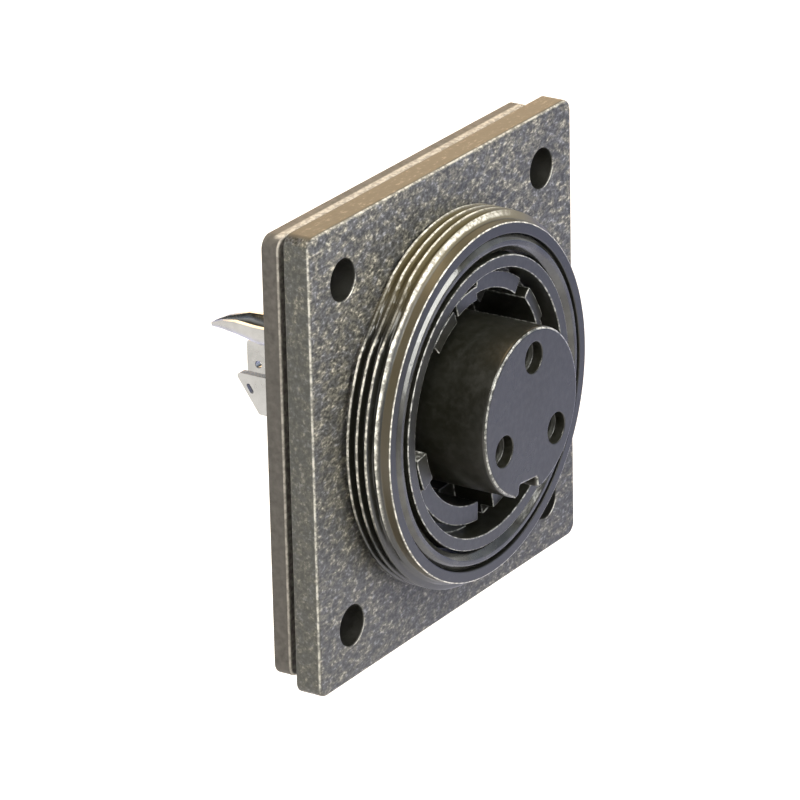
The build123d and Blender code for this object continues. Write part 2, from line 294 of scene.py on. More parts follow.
def noiseNode(tree, vector, size, detail=2.0, rough=0.5):
    # size is the width of one blotch in millimetres
    node = tree.nodes.new("ShaderNodeTexNoise")
    node.inputs["Scale"].default_value = 0.5 / (size * mm)
    node.inputs["Detail"].default_value = detail
    node.inputs["Roughness"].default_value = rough
    tree.links.new(vector, node.inputs["Vector"])
    return node.outputs[0]


def mixColors(tree, factor, first, second):
    node = tree.nodes.new("ShaderNodeMix")
    node.data_type = "RGBA"
    for index, value in zip((0, 6, 7), (factor, first, second)):
        feedSocket(tree, node.inputs[index], value)
    return node.outputs[2]


def newGroup(name, inputs, outputs, treeKind="ShaderNodeTree"):
    group = bpy.data.node_groups.new(name, treeKind)
    for side, sockets in (("INPUT", inputs), ("OUTPUT", outputs)):
        for socketName, kind in sockets.items():
            group.interface.new_socket(socketName, in_out=side, socket_type="NodeSocket" + kind)
    return group, group.nodes.new("NodeGroupInput").outputs, group.nodes.new("NodeGroupOutput").inputs


# Grain, and wear with painted highlights, which several finishes share. A noise is given by its size, detail
# and roughness.

grainLook = {
    "stretch": (0.6, 1.0, 1.0),  # the grains lie along X
    "coarse": (0.26, 2.0, 0.6),
    "fine": (0.12, 1.0, 0.6),
    "patches": (6.0, 2.0),
    "tints": (0.34, 0.0),
    "softRange": (0.4, 0.62),
    "softShare": 0.6,
    "speckRange": (0.56, 0.68),
    "patchRange": (0.3, 0.7, 0.8, 1.0),
    "tintRange": (0.4, 0.6),
}

wearAndHighlightLook = {"grain": (0.22, 2.0, 0.6), "grainRange": (0.42, 0.6)}


def makeSpeckleGroup():
    # the mottled grain of glass-filled plastic: bright fibre specks on a darker skin
    group, given, result = newGroup(
        "mouldedSpeckle",
        {"Vector": "Vector", "Skin": "Color", "Fibre": "Color", "OtherFibre": "Color", "Amount": "Float"},
        {"Color": "Color", "Height": "Float", "Gloss": "Float"},
    )
    v = grainLook
    stretch = group.nodes.new("ShaderNodeVectorMath")
    stretch.operation = "MULTIPLY"
    stretch.inputs[1].default_value = v["stretch"]
    group.links.new(given["Vector"], stretch.inputs[0])
    coarse, fine, patches, tints = (noiseNode(group, stretch.outputs[0], *v[key])
                                    for key in ("coarse", "fine", "patches", "tints"))
    grain = times(group, mathNode(group, "ADD", coarse, fine), 0.5)
    soft = rangeNode(group, grain, *v["softRange"])
    specks = rangeNode(group, grain, *v["speckRange"])
    lift = mathNode(group, "ADD", times(group, soft, v["softShare"]), specks)
    amount = times(group, lift, rangeNode(group, patches, *v["patchRange"]), given["Amount"])
    tint = rangeNode(group, tints, *v["tintRange"])
    fibres = mixColors(group, tint, given["Fibre"], given["OtherFibre"])
    color = mixColors(group, amount, given["Skin"], fibres)
    for name, value in (("Color", color), ("Height", grain), ("Gloss", specks)):
        group.links.new(value, result[name])
    return group


def makeWearAndHighlightGroup():
    # paler places for wear and painted highlights: the given mask, broken up by a fine grain
    group, given, result = newGroup(
        "wearAndHighlightEdges",
        {"Vector": "Vector", "Base": "Color", "PaleColor": "Color", "Where": "Float", "Solid": "Float"},
        {"Color": "Color"},
    )
    grain = noiseNode(group, given["Vector"], *wearAndHighlightLook["grain"])
    broken = rangeNode(group, grain, *wearAndHighlightLook["grainRange"], given["Solid"], 1.0)
    mask = times(group, given["Where"], broken)
    group.links.new(mixColors(group, mask, given["Base"], given["PaleColor"]), result["Color"])
    return group


speckleGroup = makeSpeckleGroup()
wearAndHighlightGroup = makeWearAndHighlightGroup()


def placeGroup(tree, group, **values):
    node = tree.nodes.new("ShaderNodeGroup")
    node.node_tree = group
    for name, value in values.items():
        feedSocket(tree, node.inputs[name], value)
    return node.outputs


def wearAndHighlightColor(tree, vector, base, wearAndHighlight, where, solid):
    values = {"Vector": vector, "Base": base, "PaleColor": wearAndHighlight, "Where": where, "Solid": solid}
    return placeGroup(tree, wearAndHighlightGroup, **values)["Color"]


def startMaterial(name):
    material = bpy.data.materials.new(name)
    material.use_nodes = True
    tree = material.node_tree
    place = tree.nodes.new("ShaderNodeTexCoord")
    return material, tree, tree.nodes["Principled BSDF"], place.outputs["Object"]


def finishShader(tree, shader, color, rough, height, depth):
    # depth of the relief in millimetres, or 0 for none
    tree.links.new(color, shader.inputs["Base Color"])
    tree.links.new(rough, shader.inputs["Roughness"])
    if depth:
        bump = tree.nodes.new("ShaderNodeBump")
        bump.inputs["Distance"].default_value = depth * mm
        tree.links.new(height, bump.inputs["Height"])
        tree.links.new(bump.outputs["Normal"], shader.inputs["Normal"])


# Sizes of the flange and the threaded collar, which the housing's finish reads too

flange = {
    "width": 42.0,
    "corner": 1.1,
    "frontRound": 0.3,
    "rearRound": 0.12,
    "centreHole": 15.3,  # inside the collar's wall
    "padWidth": 36.8,
    "padCorner": 1.6,
    "padSink": 0.4,
    "padRounds": (0.05, 0.1),
    "padSupport": 0.05,
    "screwSpacing": 31.8,
    "screwHole": 1.85,
    "holeRound": 0.12,
}

collar = {
    "segments": 480,
    "rows": 84,
    "rootRadius": 16.24,
    "crestRadius": 16.9,
    "bandRadius": 16.05,
    "pitch": 0.9,
    "crestWidth": 0.14,
    "rootWidth": 0.66,
    "footSink": 0.4,
    "bandLength": 0.9,
    "leadLength": 0.55,
    "firstTurn": 0.18,  # where the first turn leaves the flange, in front of it
    "flatDistance": 16.45,
    "flatAngle": 135.0,
    "rimRound": 0.14,
    "mouthRadius": 14.98,
    "mouthDepth": 2.0,
    "mouthRound": 0.1,
    "boreRadius": 13.2,
    "boreRound": 0.08,
    "stopBoreRadius": 14.26,
    "shellRadius": 15.6,
    "shellLength": 3.0,
    "shellRound": 0.35,
    "shellMouthRound": 0.15,
    "seamReach": 0.003,  # welds the thread to the rest of the collar
}

# Finishes. A value named span or depth is the start, the end and the softness, past the plane it belongs to.

speckledPlastic = {
    "skin": (0.02, 0.02, 0.017),
    "warmFibre": (0.46, 0.43, 0.35),
    "coolFibre": (0.24, 0.24, 0.25),
    "amount": (0.42, 0.74),  # of the grain, from the flange's bottom edge to its top edge; less at the bottom, a painted shade as if the light fell from above
    "sideAmount": 0.6,  # the grain on the flange's edge faces
    "sideColor": (0.085, 0.09, 0.083),
    "sideShare": 0.5,
    "sideRelief": 0.4,
    "topStart": 20.85,  # the top edge face is smooth and painted a warm tone, a painted warm light from above
    "topSoft": 0.08,
    "topWarmLight": (0.062, 0.054, 0.038),
    "topShare": 0.8,
    "rearSoft": 0.05,  # painted shadow: the pad and the shell behind the flange are painted near black
    "holeReach": 1.9,  # painted shade: the screw holes are painted near black inside
    "holeSoft": 0.03,
    "shadeColor": (0.008, 0.008, 0.006),
    "lip": (0.0, 0.1, 0.02),  # painted highlight on the holes' lip, on their lower right
    "lipStart": 1.9,
    "lipSoft": 0.7,
    "roughness": (0.5, 0.3),
    "bumpDepth": 0.035,
    "edge": (0.6, 0.58, 0.52),
    "edgeSolid": 0.25,
    "edgeStart": 20.8,  # from here outwards the flange's front edge is pale: wear, and a painted highlight
    "edgeSoft": 0.15,
    "edgeDepth": (0.01, 0.17, 0.04),
    "collar": (0.008, 0.008, 0.006),
    "collarPale": (0.018, 0.018, 0.017),
    "collarStart": -5.42,  # from here forwards along the axis the collar's skin is smooth
    "collarSoft": 0.1,
    "collarRoughness": 0.3,
    "collarRelief": 0.2,
    # painted warm reflection on the plain band behind the rim
    "band": (0.06, 0.05, 0.03),
    "bandSpan": (0.1, collar["bandLength"], 0.03),
    "bandStart": 15.9,
    "bandSoft": 0.08,
    "leadSpan": (0.2, 0.4, 0.05),
    "leadStart": 16.1,
    "leadSoft": 0.1,
    "threadSoft": 0.1,
    "crownWarmLight": (0.11, 0.09, 0.045),  # the thread's top, painted brown as warm light from above
    "crownWarmLightRange": (0.62, 0.92, 0.0, 0.8),
    # the pale crests and lead: wear, and a painted highlight
    "crest": (0.72, 0.7, 0.63),
    "crestSolid": 0.3,
    "crestStart": 16.6,
    "crestRise": 0.1,
    "crestHalf": 0.07,
    "crestSoft": 0.06,
    "flatShare": 0.3,  # how pale the crests are where the flats trim them
    "litAngle": 138.0,  # the painted highlight on the crests and the lead is strongest at this angle, where the light falls
    "litRange": (0.3, 0.65),
    # wear and a painted highlight, beaded along the rim's outer edge
    "rimRadius": (15.93, 16.2, 0.03),
    "rimDepth": (-0.15, 0.08, 0.03),
}


def makeSpeckledPlastic():
    material, tree, shader, vector = startMaterial("speckledPlastic")
    v = speckledPlastic
    x, y, z = splitNode(tree, vector)
    side = mathNode(tree, "MAXIMUM", mathNode(tree, "ABSOLUTE", x), mathNode(tree, "ABSOLUTE", z))
    onSide = stepNode(tree, side, v["topStart"], v["topSoft"])
    # painted shade: less grain, so a darker face, towards the flange's bottom edge
    paintedFalloff = rangeNode(tree, z, -flange["width"] / 2 * mm, flange["width"] / 2 * mm, *v["amount"])
    speckle = placeGroup(tree, speckleGroup, Vector=vector, Skin=v["skin"], Fibre=v["warmFibre"],
                         OtherFibre=v["coolFibre"], Amount=blendNode(tree, onSide, paintedFalloff, v["sideAmount"]))
    # the flange: smoother on its edge faces, painted warm light on its top face, painted shade behind it and
    # in its holes, wear and a painted highlight along its front edges, and a painted highlight on its holes'
    # lower right
    sided = mixColors(tree, times(tree, onSide, v["sideShare"]), speckle["Color"], v["sideColor"])
    # painted warm light on the top edge face
    litTop = stepNode(tree, z, v["topStart"], v["topSoft"], 0.0, v["topShare"])
    # painted shadow on the pad and shell behind the flange
    behind = stepNode(tree, y, planes["flangeRear"] - v["rearSoft"], v["rearSoft"])
    shaded = mixColors(tree, behind, mixColors(tree, litTop, sided, v["topWarmLight"]), v["shadeColor"])
    half = flange["screwSpacing"] / 2 * mm
    across, up = (mathNode(tree, "SUBTRACT", along, times(tree, mathNode(tree, "SIGN", along), half))
                  for along in (x, z))
    fromHole = distanceNode(tree, across, up)
    downRight = stepNode(tree, mathNode(tree, "SUBTRACT", across, up), v["lipStart"], v["lipSoft"])
    litLip = times(tree, spanNode(tree, fromHole, v["holeReach"], *v["lip"]), downRight)
    onEdge = times(tree, stepNode(tree, side, v["edgeStart"], v["edgeSoft"]),
                   spanNode(tree, y, planes["flangeFront"], *v["edgeDepth"]))
    pale = mathNode(tree, "MAXIMUM", onEdge, litLip)
    edged = wearAndHighlightColor(tree, vector, shaded, v["edge"], pale, v["edgeSolid"])
    # painted shade inside the screw holes
    inHoleShade = stepNode(tree, fromHole, v["holeReach"] - v["holeSoft"], v["holeSoft"], 1.0, 0.0)
    holed = mixColors(tree, inHoleShade, edged, v["shadeColor"])
    # the collar: a painted warm reflection on the band behind the rim, painted warm light on its top, pale
    # crests and lead for wear and a painted highlight strongest on the upper left, and wear with a painted
    # highlight beaded on the rim's edge
    radius = distanceNode(tree, x, z)
    leadEnd = planes["rim"] + collar["bandLength"]
    plain = mixColors(tree, speckle["Gloss"], v["collar"], v["collarPale"])
    onCrown = times(tree, rangeNode(tree, mathNode(tree, "DIVIDE", z, radius), *v["crownWarmLightRange"]),
                    stepNode(tree, y, leadEnd, v["threadSoft"]))
    onBand = times(tree, spanNode(tree, y, planes["rim"], *v["bandSpan"]),
                   stepNode(tree, radius, v["bandStart"], v["bandSoft"]))
    banded = mixColors(tree, onBand, mixColors(tree, onCrown, plain, v["crownWarmLight"]), v["band"])
    onLead = times(tree, spanNode(tree, y, leadEnd, *v["leadSpan"]),
                   stepNode(tree, radius, v["leadStart"], v["leadSoft"]))
    turn = mathNode(tree, "DIVIDE", mathNode(tree, "ARCTAN2", z, x), fullTurn)
    firstTurn = (planes["flangeFront"] - collar["firstTurn"]) * mm
    fromCrest = crestDistance(tree, y, turn, firstTurn, collar["pitch"] * mm)
    onCrest = times(tree, stepNode(tree, fromCrest, v["crestHalf"], v["crestSoft"], 1.0, 0.0),
                    stepNode(tree, radius, v["crestStart"], v["crestRise"], v["flatShare"], 1.0),
                    stepNode(tree, y, leadEnd + v["threadSoft"], v["threadSoft"]))
    onRim = times(tree, spanNode(tree, radius, 0.0, *v["rimRadius"]),
                  spanNode(tree, y, planes["rim"], *v["rimDepth"]))
    litTurn = math.radians(v["litAngle"])
    towardLit = mathNode(tree, "ADD", times(tree, x, math.cos(litTurn)), times(tree, z, math.sin(litTurn)))
    share = rangeNode(tree, mathNode(tree, "DIVIDE", towardLit, radius), *v["litRange"], smooth=True)
    onThread = times(tree, mathNode(tree, "MAXIMUM", onLead, onCrest), share)
    where = mathNode(tree, "MAXIMUM", onThread, onRim)
    crested = wearAndHighlightColor(tree, vector, banded, v["crest"], where, v["crestSolid"])
    grained = stepNode(tree, y, v["collarStart"], v["collarSoft"])
    rough = blendNode(tree, speckle["Gloss"], *v["roughness"])
    height = times(tree, speckle["Height"], blendNode(tree, grained, v["collarRelief"], 1.0),
                   blendNode(tree, onSide, 1.0, v["sideRelief"]))
    finishShader(tree, shader, mixColors(tree, grained, crested, holed),
                 blendNode(tree, grained, v["collarRoughness"], rough), height, v["bumpDepth"])
    return material


gasketRubber = {
    "base": (0.07, 0.066, 0.06),
    "dusty": (0.14, 0.13, 0.12),
    "dustLeast": 0.5,
    "clouds": (3.0, 4.0, 0.6),
    "grain": (0.35, 3.0, 0.6),
    "grainRange": (0.3, 0.7),
    "gapShadeColor": (0.006, 0.006, 0.005),  # painted shadow: the front face, which shows in the gap beside the flange, is painted near black
    "gapShadeSoft": 0.03,
    # the pale front edge and top edge: wear, and a painted highlight
    "wearAndHighlight": (0.5, 0.47, 0.42),
    "wearAndHighlightSolid": 0.5,
    "wearAndHighlightSpan": (0.02, 0.16, 0.04),
    "topSpan": (-0.1, 0.75, 0.1),  # the painted highlight on the top edge reaches further back
    "topStart": 20.0,
    "topSoft": 0.15,
    "roughness": (0.55, 0.75),
    "bumpDepth": 0.03,
}


def makeGasketRubber():
    material, tree, shader, vector = startMaterial("gasketRubber")
    v = gasketRubber
    front = planes["gasketFront"]
    _, y, z = splitNode(tree, vector)
    clouds = noiseNode(tree, vector, *v["clouds"])
    grain = noiseNode(tree, vector, *v["grain"])
    dust = times(tree, rangeNode(tree, clouds, *v["grainRange"], v["dustLeast"], 1.0),
                 rangeNode(tree, grain, *v["grainRange"]))
    # painted shadow on the front face, in the gap behind the flange
    inGapShade = stepNode(tree, y, front, v["gapShadeSoft"], 1.0, 0.0)
    color = mixColors(tree, inGapShade, mixColors(tree, dust, v["base"], v["dusty"]), v["gapShadeColor"])
    # painted highlight with wear along the front edge and the top edge
    litTop = times(tree, stepNode(tree, z, v["topStart"], v["topSoft"]),
                  spanNode(tree, y, front, *v["topSpan"]))
    where = mathNode(tree, "MAXIMUM", spanNode(tree, y, front, *v["wearAndHighlightSpan"]), litTop)
    finishShader(tree, shader, wearAndHighlightColor(tree, vector, color, v["wearAndHighlight"], where, v["wearAndHighlightSolid"]),
                 rangeNode(tree, clouds, *v["grainRange"], *v["roughness"]), grain, v["bumpDepth"])
    return material


smoothPlastic = {
    "colors": ((0.009, 0.009, 0.006), (0.02, 0.02, 0.017)),
    "tone": (0.3, 3.0, 0.6),
    "toneRange": (0.4, 0.75),
    "sheen": (4.0, 3.0),
    "sheenRange": (0.3, 0.7),
    "roughness": (0.26, 0.36),
    "bumpDepth": 0.012,
    # pale edges: wear, and a painted highlight on the rounded edges
    "wearAndHighlight": (0.36, 0.36, 0.34),
    "wearAndHighlightSolid": 0.1,
}

sealRubber = {
    "colors": ((0.02, 0.02, 0.018), (0.06, 0.06, 0.055)),
    "tone": (1.6, 4.0, 0.6),
    "toneRange": (0.4, 0.75),
    "sheenRange": (0.3, 0.7),
    "roughness": (0.1, 0.17),
    "relief": (0.25, 2.0),
    "bumpDepth": 0.012,
}

rearPlastic = {
    "colors": ((0.018, 0.018, 0.018), (0.05, 0.05, 0.05)),
    "tone": (0.3, 3.0, 0.6),
    "toneRange": (0.4, 0.75),
    "sheenRange": (0.3, 0.7),
    "roughness": (0.4, 0.6),
    "bumpDepth": 0.02,
}

tinnedMetal = {
    "metallic": 1.0,
    "colors": ((0.42, 0.43, 0.44), (0.34, 0.35, 0.35)),
    "tone": (1.4, 4.0, 0.6),
    "toneRange": (0.4, 0.75),
    "sheenRange": (0.35, 0.7),
    "roughness": (0.14, 0.34),
    "relief": (2.2, 1.0),
    "bumpDepth": 0.03,
    "socketShadeColor": (0.01, 0.01, 0.006),  # painted shade: inside the boss the contacts are painted near black, dull and not metallic, as the shade in the sockets
    "darkEnd": -6.0,
    "darkSoft": 1.0,
    "darkRoughness": 0.7,
}

springSteel = {
    "metallic": 1.0,
    "colors": ((0.55, 0.55, 0.56), (0.36, 0.36, 0.37)),
    "tone": (0.8, 3.0),
    "toneRange": (0.0, 1.0),
    "sheenRange": (0.35, 0.7),
    "roughness": (0.25, 0.4),
    "bumpDepth": 0.0,
}


def makeMottled(name, v, wearAndHighlight=0.0, paintedSocketShade=False):
    # two colours mixed by a noise, which the sheen and the relief share unless they have their own
    material, tree, shader, vector = startMaterial(name)
    tone, sheen, relief = (noiseNode(tree, vector, *v.get(key, v["tone"]))
                           for key in ("tone", "sheen", "relief"))
    shader.inputs["Metallic"].default_value = v.get("metallic", 0.0)
    color = mixColors(tree, rangeNode(tree, tone, *v["toneRange"]), *v["colors"])
    rough = rangeNode(tree, sheen, *v["sheenRange"], *v["roughness"])
    # pale edges: wear, and a painted highlight
    if wearAndHighlight:
        color = wearAndHighlightColor(tree, vector, color, v["wearAndHighlight"], wearAndHighlight, v["wearAndHighlightSolid"])
    # painted shade: near black, dull metal inside the boss
    if paintedSocketShade:
        outside = stepNode(tree, splitNode(tree, vector)[1], v["darkEnd"], v["darkSoft"])
        color = mixColors(tree, outside, v["socketShadeColor"], color)
        rough = blendNode(tree, outside, v["darkRoughness"], rough)
        tree.links.new(outside, shader.inputs["Metallic"])
    finishShader(tree, shader, color, rough, relief, v["bumpDepth"])
    return material


materials = {
    "speckled": makeSpeckledPlastic(),
    "smooth": makeMottled("smoothPlastic", smoothPlastic),
    "smoothEdge": makeMottled("wearAndHighlightPlastic", smoothPlastic, wearAndHighlight=1.0),
    "gasket": makeGasketRubber(),
    "seal": makeMottled("sealRubber", sealRubber),
    "rear": makeMottled("rearPlastic", rearPlastic),
    "tin": makeMottled("tinnedMetal", tinnedMetal),
    "socketTin": makeMottled("socketShadedTin", tinnedMetal, paintedSocketShade=True),
    "steel": makeMottled("springSteel", springSteel),
}
print("materials ready")


# Flange, pad, threaded collar and shell

# the collar's lengths that the thread's tree takes as they are
collarLengths = ("rootRadius", "crestRadius", "bandRadius", "pitch", "crestWidth", "rootWidth", "leadLength",
                 "flatDistance")


def makeThreadTree():
    # a tube bent from a grid, with a helical ridge, a bevelled lead and two flats
    floats = dict.fromkeys((*collarLengths, "footY", "rimY", "bandY", "firstTurnY", "flatAngle"), "Float")
    others = {"segments": "Int", "rows": "Int", "material": "Material"}
    tree, given, result = newGroup("threadedTube", {**floats, **others}, {"geometry": "Geometry"},
                                   "GeometryNodeTree")
    grid = tree.nodes.new("GeometryNodeMeshGrid")
    tree.links.new(mathNode(tree, "ADD", given["segments"], 1), grid.inputs["Vertices X"])
    tree.links.new(mathNode(tree, "ADD", given["rows"], 1), grid.inputs["Vertices Y"])
    gridX, gridY, _ = splitNode(tree, tree.nodes.new("GeometryNodeInputPosition").outputs[0])
    turn = mathNode(tree, "ADD", gridX, 0.5)
    angle = times(tree, turn, fullTurn)
    y = rangeNode(tree, gridY, -0.5, 0.5, given["footY"], given["rimY"])
    # the ridge
    away = crestDistance(tree, y, turn, given["firstTurnY"], given["pitch"])
    crestHalf = times(tree, given["crestWidth"], 0.5)
    rootHalf = times(tree, given["rootWidth"], 0.5)
    crest = given["crestRadius"]
    ridged = rangeNode(tree, away, crestHalf, rootHalf, crest, given["rootRadius"], smooth=True)
    # the lead: a cone from the plain band up to the crests
    rise = mathNode(tree, "SUBTRACT", crest, given["bandRadius"])
    slope = mathNode(tree, "DIVIDE", rise, given["leadLength"])
    behind = mathNode(tree, "MAXIMUM", mathNode(tree, "SUBTRACT", y, given["bandY"]), 0.0)
    cone = mathNode(tree, "ADD", given["bandRadius"], times(tree, behind, slope))
    radius = mathNode(tree, "MINIMUM", ridged, cone)
    # the flats
    toFlat = mathNode(tree, "COSINE", mathNode(tree, "SUBTRACT", angle, given["flatAngle"]))
    toFlat = mathNode(tree, "MAXIMUM", mathNode(tree, "ABSOLUTE", toFlat), 0.01)
    radius = mathNode(tree, "MINIMUM", radius, mathNode(tree, "DIVIDE", given["flatDistance"], toFlat))
    x, z = (times(tree, radius, mathNode(tree, operation, angle)) for operation in ("COSINE", "SINE"))
    together = tree.nodes.new("ShaderNodeCombineXYZ")
    for socket, value in zip(together.inputs, (x, y, z)):
        tree.links.new(value, socket)
    bend = tree.nodes.new("GeometryNodeSetPosition")
    tree.links.new(together.outputs[0], bend.inputs["Position"])
    weld = tree.nodes.new("GeometryNodeMergeByDistance")
    weld.inputs["Distance"].default_value = weldReach * mm
    realize = tree.nodes.new("GeometryNodeRealizeInstances")
    paint = tree.nodes.new("GeometryNodeSetMaterial")
    tree.links.new(given["material"], paint.inputs["Material"])
    chain = (grid, bend, weld, realize, paint)
    for node, following in zip(chain, chain[1:]):
        tree.links.new(node.outputs[0], following.inputs[0])
    tree.links.new(paint.outputs[0], result[0])
    return tree


def evaluateTree(tree, name, values):
    # runs a geometry tree with the named inputs and gives back a plain mesh
    host = bpy.data.objects.new(name, bpy.data.meshes.new(name))
    bpy.context.scene.collection.objects.link(host)
    modifier = host.modifiers.new(name, "NODES")
    modifier.node_group = tree
    for item in tree.interface.items_tree:
        if item.in_out == "INPUT":
            modifier[item.identifier] = values[item.name]
    evaluated = host.evaluated_get(bpy.context.evaluated_depsgraph_get())
    mesh = bpy.data.meshes.new_from_object(evaluated)
    bpy.data.objects.remove(host)
    return mesh


def screwOutlines(radius):
    half = flange["screwSpacing"] / 2
    return [circleOutline(radius, holeSteps, (x * half, z * half)) for x in (-1, 1) for z in (-1, 1)]


def makeFlangeHousing():
    bm = bmesh.new()
    f, c = flange, collar
    holes = screwOutlines(f["screwHole"]) + [circleOutline(f["centreHole"], openingSteps)]
    front, rear = planes["flangeFront"], planes["flangeRear"]
    addPlate(bm, squareOutline(f["width"], f["corner"]), holes,
             edgeRows(front, rear, f["frontRound"], f["rearRound"]),
             edgeRows(front, rear, f["holeRound"], f["holeRound"]))
    padRows = edgeRows(rear - f["padSink"], planes["gasketFront"], *f["padRounds"], support=f["padSupport"])
    addPlate(bm, squareOutline(f["padWidth"], f["padCorner"]), holes, padRows, padRows)

    rim, footY = planes["rim"], front + c["footSink"]
    values = {name: c[name] * mm for name in collarLengths}
    values["footY"] = footY * mm
    values["rimY"] = (rim + c["rimRound"]) * mm
    values["bandY"] = (rim + c["bandLength"]) * mm
    values["firstTurnY"] = (front - c["firstTurn"]) * mm
    values["flatAngle"] = math.radians(c["flatAngle"])
    values |= {"segments": c["segments"], "rows": c["rows"], "material": materials["speckled"]}
    bm.from_mesh(evaluateTree(makeThreadTree(), "threadedTube", values))
    # the rest of the collar's section, from the thread's rim end round through the bore to its foot
    mouthFloor = rim + c["mouthDepth"]
    shellRear = planes["panel"] + c["shellLength"]
    section = softCorners([
        (c["bandRadius"], rim, c["rimRound"]),
        (c["mouthRadius"], rim, c["mouthRound"]),
        (c["mouthRadius"], mouthFloor, 0),
        (c["boreRadius"], mouthFloor, c["boreRound"]),
        (c["boreRadius"], planes["stop"], c["boreRound"]),
        (c["stopBoreRadius"], planes["stop"], 0),
        (c["stopBoreRadius"], shellRear, c["shellMouthRound"]),
        (c["shellRadius"], shellRear, c["shellRound"]),
        (c["shellRadius"], footY, 0),
    ])
    # the first point repeats the thread's own end, so the walk starts on the rounded edge
    addTurned(bm, section[1:], c["segments"], closed=False)
    bmesh.ops.remove_doubles(bm, verts=bm.verts, dist=c["seamReach"] * mm)
    bmesh.ops.bridge_loops(bm, edges=[edge for edge in bm.edges if edge.is_boundary])
    return finishMesh("flangeHousing", bm, materials["speckled"], sharpAngle=50)


standFor(makeFlangeHousing(), "housing_plastic", "flange_housing")


# Panel gasket

gasket = {
    "width": 40.4,
    "corner": 1.2,
    "frontRound": 0.25,
    "rearRound": 0.12,
    "centreHole": 15.75,
    "screwHole": 1.85,
    "holeRound": 0.1,
}


def makePanelGasket():
    bm = bmesh.new()
    g = gasket
    holes = screwOutlines(g["screwHole"]) + [circleOutline(g["centreHole"], openingSteps)]
    front, rear = planes["gasketFront"], planes["panel"]
    addPlate(bm, squareOutline(g["width"], g["corner"]), holes,
             edgeRows(front, rear, g["frontRound"], g["rearRound"]),
             edgeRows(front, rear, g["holeRound"], g["holeRound"]))
    return finishMesh("panelGasket", bm, materials["gasket"])


standFor(makePanelGasket(), "gasket_rubber", "panel_gasket")


# Seal in the collar's mouth

mouthSeal = {
    "outerRadius": 14.96,
    "width": 1.52,
    "recess": -0.08,
    "depth": 2.0,
    "ridge": 0.2,  # half the width of the flat between the seal's sloping flanks
    "slope": 0.5,  # how far the flanks fall
    "crown": 0.24,
    "steps": 240,
}


def makeMouthSeal():
    bm = bmesh.new()
    s = mouthSeal
    front = planes["rim"] + s["recess"]
    rear = front + s["depth"]
    inner = s["outerRadius"] - s["width"]
    middle = (inner + s["outerRadius"]) / 2
    section = softCorners([
        (inner, front + s["slope"], s["crown"] / 2),
        (middle - s["ridge"], front, s["crown"]),
        (middle + s["ridge"], front, s["crown"]),
        (s["outerRadius"], front + s["slope"], s["crown"] / 2),
        (s["outerRadius"], rear, 0),
        (inner, rear, 0),
    ], steps=6, support=0.02)
    addTurned(bm, section, s["steps"])
    return finishMesh("mouthSeal", bm, materials["seal"])


standFor(makeMouthSeal(), "seal_rubber", "mouth_seal")


# Keyed insert: sleeve, key wall and floor of the well

insert = {
    "radii": (7.63, 9.1, 9.35, 10.0, 10.4, 10.65, 11.1, 11.5, 12.0, 13.14),
    "wellY": -2.15,
    "grooveY": -7.2,
    "grooveStart": 10.65,  # the ring groove between the key wall and the sleeve
    "keywayY": -4.5,
    # start and end in degrees, inner and outer radius, height of the front
    "walls": (
        (22.0, 42.0, 10.4, 11.5, -8.5),
        (52.0, 90.0, 10.0, 11.5, -8.5),
        (90.0, 109.0, 9.35, 10.65, -8.5),
        (112.0, 134.0, 9.1, 10.4, -8.62),
        (190.0, 208.0, 9.1, 10.65, -8.8),
        (208.0, 267.5, 9.35, 11.1, -8.5),
        (281.0, 360.0, 9.35, 11.1, -8.5),
        (0.0, 22.0, 9.35, 11.1, -8.5),
    ),
    "keyways": ((134.0, 190.0), (42.0, 52.0), (267.5, 281.0), (109.0, 112.0)),
    "paleEnd": 190.0,  # the wall end that takes the pale finish, a painted patch of light
    "step": 1.5,
    "leastSpan": 0.01,
    "stopRadius": 14.2,
    "sealGrooveRadius": 12.36,
    "sealGroove": (-3.72, -2.78),
    "edge": 0.09,
}


def insertLevel(zone, angle):
    # height of the front surface in a zone of the insert, at an angle
    i = insert
    inner, outer = i["radii"][zone], i["radii"][zone + 1]
    if outer == i["radii"][-1]:
        return planes["rim"]
    if outer <= i["radii"][1]:
        return i["wellY"]
    for start, end, wallInner, wallOuter, y in i["walls"]:
        if start < angle % 360 < end and inner >= wallInner and outer <= wallOuter:
            return y
    if any(start < angle % 360 < end for start, end in i["keyways"]):
        return i["keywayY"]
    return i["grooveY"] if inner >= i["grooveStart"] else i["wellY"]


